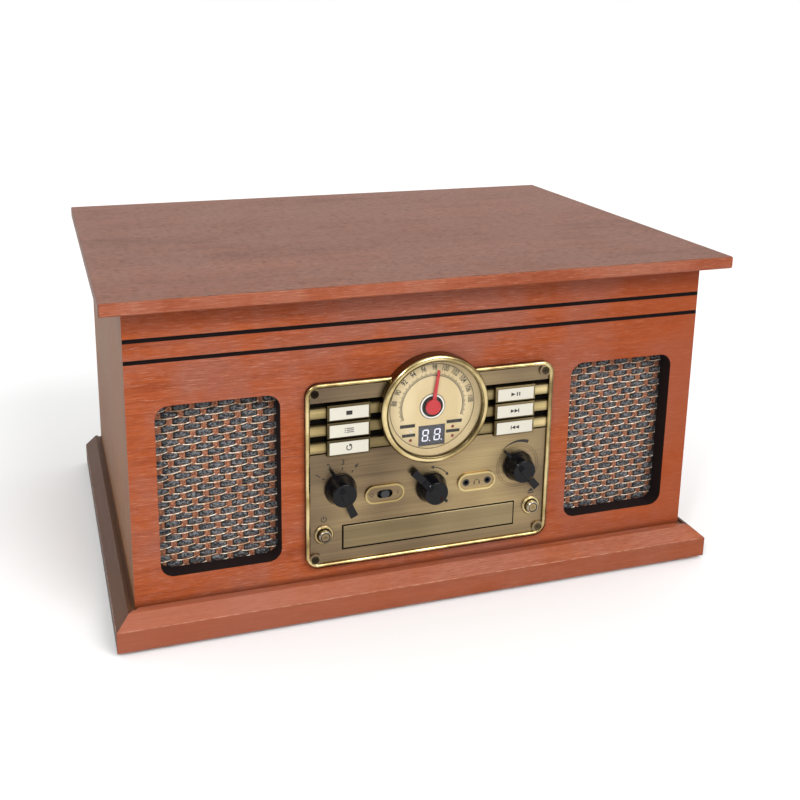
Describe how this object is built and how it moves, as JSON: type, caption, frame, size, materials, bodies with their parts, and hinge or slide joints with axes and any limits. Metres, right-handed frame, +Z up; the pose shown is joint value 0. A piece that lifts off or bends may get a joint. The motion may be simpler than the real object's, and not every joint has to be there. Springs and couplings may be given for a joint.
{
  "type": "stereo music centre",
  "caption": "Table-top music centre: wooden case, hinged lid over a record deck, woven speaker windows, brass panel with tuning dial, keys, knobs and disc drawer.",
  "frame": {"origin": "centre of the overall box in plan, at the underside of the feet", "axes": "+Z up, -Y the front with the controls, +X to the right as seen from the front"},
  "size_m": [0.48, 0.3506, 0.2598],
  "materials": {
    "wood_front": "mahogany veneer, horizontal grain",
    "wood_side": "veneer",
    "wood_lid": "veneer",
    "wood_plinth": "stained moulding",
    "board": "fibreboard",
    "cloth": "woven",
    "panel_brass": "antique, brushed",
    "bright_brass": "polished",
    "key_plastic": "painted",
    "lens": "clear",
    "black_gloss": "gloss",
    "black_matte": "matte",
    "pale_plastic": "matte",
    "red_plastic": "painted",
    "steel": "plated",
    "black_steel": "blackened",
    "platter_metal": "satin",
    "rubber": "moulded",
    "cord": "braided",
    "mechanism": "matte",
    "circuit_board": "lacquered board"
  },
  "bodies": {
    "cabinet": {"front_panel": "wood_front", "side_panels": "wood_side", "back_panel": "board", "bottom_board": "board", "plinth": "wood_plinth", "feet": "rubber", "deck": "black_matte", "grille_cloths": "cloth", "speaker_boards": "board", "speakers": "steel", "control_panel": "panel_brass", "panel_screws": "black_steel", "dial_bezel": "bright_brass", "dial_lens": "lens", "dial_face": "key_plastic", "display": "black_matte", "dial_cord": "cord", "control_board": "circuit_board", "escutcheons": "bright_brass", "front_sockets": "black_matte", "disc_mechanism": "mechanism", "motor": "steel", "drive_belt": "rubber", "arm_base": "black_matte", "body_hardware": "bright_brass", "main_board": "circuit_board", "transformer": "steel", "rear_sockets": "black_matte"},
    "needle": {"dial_needle": "red_plastic", "needle_drum": "pale_plastic"},
    "tuning": {"tuning_shaft": "steel", "tuning_knob": "black_gloss"},
    "function": {"function_knob": "black_gloss"},
    "volume": {"volume_knob": "black_gloss"},
    "switch": {"switch_slider": "black_matte"},
    "stop": {"stop_key": "key_plastic"},
    "program": {"program_key": "key_plastic"},
    "repeat": {"repeat_key": "key_plastic"},
    "play": {"play_key": "key_plastic"},
    "next": {"next_key": "key_plastic"},
    "previous": {"previous_key": "key_plastic"},
    "button_left": {"left_button": "bright_brass"},
    "button_right": {"right_button": "bright_brass"},
    "disc_drawer": {"drawer": "black_matte", "drawer_front": "panel_brass"},
    "hub": {"disc_hub": "black_matte"},
    "turntable": {"platter": "platter_metal", "slip_mat": "rubber", "spindle": "steel"},
    "drive_pulley": {"motor_pulley": "bright_brass"},
    "yoke": {"arm_yoke": "steel"},
    "arm": {"tone_arm": "black_matte", "head_shell": "black_matte", "cartridge": "pale_plastic"},
    "cue_handle": {"cue_lever": "black_matte"},
    "cue_bar": {"cue_lift": "black_matte"},
    "speed": {"speed_lever": "black_matte"},
    "lid_board": {"lid": "wood_lid", "lid_hardware": "bright_brass"},
    "stay": {"stay_arm": "steel"}
  },
  "joints": [
    {"name": "lid_hinge", "type": "hinge", "parent": "cabinet", "child": "lid_board", "pos_m": [0, 0.1723, 0.244], "axis": [-1, 0, 0], "range_deg": [0, 75]},
    {"name": "stay_swing", "type": "hinge", "parent": "cabinet", "child": "stay", "pos_m": [0.2091, 0.0523, 0.244], "axis": [-1, 0, 0], "range_deg": [0, 150]},
    {"name": "platter_spin", "type": "hinge", "parent": "cabinet", "child": "turntable", "pos_m": [-0.058, 0.0109, 0.2], "axis": [0, 0, -1], "continuous": true},
    {"name": "pulley_spin", "type": "hinge", "parent": "cabinet", "child": "drive_pulley", "pos_m": [-0.136, 0.0109, 0.19], "axis": [0, 0, -1], "continuous": true},
    {"name": "hub_spin", "type": "hinge", "parent": "cabinet", "child": "hub", "pos_m": [0, -0.0801, 0.0583], "axis": [0, 0, -1], "continuous": true},
    {"name": "arm_swing", "type": "hinge", "parent": "cabinet", "child": "yoke", "pos_m": [0.11324, 0.0809, 0.218], "axis": [0, 0, -1], "range_deg": [0, 47]},
    {"name": "arm_lift", "type": "hinge", "parent": "yoke", "child": "arm", "pos_m": [0.11324, 0.0809, 0.218], "axis": [-1, 0, 0], "range_deg": [0, 6]},
    {"name": "cue_turn", "type": "hinge", "parent": "cabinet", "child": "cue_handle", "pos_m": [0.14924, 0.0589, 0.199], "axis": [-1, 0, 0], "range_deg": [0, 60]},
    {"name": "cue_rise", "type": "slide", "parent": "cabinet", "child": "cue_bar", "axis": [0, 0, 1], "range_m": [0, 0.004]},
    {"name": "speed_slide", "type": "slide", "parent": "cabinet", "child": "speed", "axis": [0, 1, 0], "range_m": [0, 0.016]},
    {"name": "function_turn", "type": "hinge", "parent": "cabinet", "child": "function", "pos_m": [-0.072, -0.1561, 0.0995], "axis": [0, 1, 0], "range_deg": [-30, 60]},
    {"name": "volume_turn", "type": "hinge", "parent": "cabinet", "child": "volume", "pos_m": [0.072, -0.1561, 0.0995], "axis": [0, 1, 0], "range_deg": [-110, 190]},
    {"name": "tuning_turn", "type": "hinge", "parent": "cabinet", "child": "tuning", "pos_m": [0, -0.1561, 0.0913], "axis": [0, 1, 0], "range_deg": [-354, 300]},
    {"name": "needle_turn", "type": "hinge", "parent": "cabinet", "child": "needle", "pos_m": [0, -0.1561, 0.1563], "axis": [0, 1, 0], "range_deg": [-118, 100]},
    {"name": "stop_press", "type": "slide", "parent": "cabinet", "child": "stop", "axis": [0, 1, 0], "range_m": [0, 0.001], "stiffness_N_per_m": 700, "springref_m": -0.0004},
    {"name": "program_press", "type": "slide", "parent": "cabinet", "child": "program", "axis": [0, 1, 0], "range_m": [0, 0.001], "stiffness_N_per_m": 700, "springref_m": -0.0004},
    {"name": "repeat_press", "type": "slide", "parent": "cabinet", "child": "repeat", "axis": [0, 1, 0], "range_m": [0, 0.001], "stiffness_N_per_m": 700, "springref_m": -0.0004},
    {"name": "play_press", "type": "slide", "parent": "cabinet", "child": "play", "axis": [0, 1, 0], "range_m": [0, 0.001], "stiffness_N_per_m": 700, "springref_m": -0.0004},
    {"name": "next_press", "type": "slide", "parent": "cabinet", "child": "next", "axis": [0, 1, 0], "range_m": [0, 0.001], "stiffness_N_per_m": 700, "springref_m": -0.0004},
    {"name": "previous_press", "type": "slide", "parent": "cabinet", "child": "previous", "axis": [0, 1, 0], "range_m": [0, 0.001], "stiffness_N_per_m": 700, "springref_m": -0.0004},
    {"name": "left_press", "type": "slide", "parent": "cabinet", "child": "button_left", "axis": [0, 1, 0], "range_m": [0, 0.0015], "stiffness_N_per_m": 500, "springref_m": -0.0006},
    {"name": "right_press", "type": "slide", "parent": "cabinet", "child": "button_right", "axis": [0, 1, 0], "range_m": [0, 0.0015], "stiffness_N_per_m": 500, "springref_m": -0.0006},
    {"name": "switch_slide", "type": "slide", "parent": "cabinet", "child": "switch", "axis": [1, 0, 0], "range_m": [-0.0026, 0.0026]},
    {"name": "drawer_slide", "type": "slide", "parent": "cabinet", "child": "disc_drawer", "axis": [0, -1, 0], "range_m": [0, 0.136]}
  ],
  "couplings": [
    {"joint": "stay_swing", "follows": "lid_hinge", "ratio": 2},
    {"joint": "pulley_spin", "follows": "platter_spin", "ratio": 9.6667},
    {"joint": "needle_turn", "follows": "tuning_turn", "ratio": 0.33333},
    {"joint": "cue_turn", "follows": "cue_rise", "rad_per_m": 261.8},
    {"joint": "arm_lift", "follows": "cue_rise", "rad_per_m": 26.18}
  ]
}
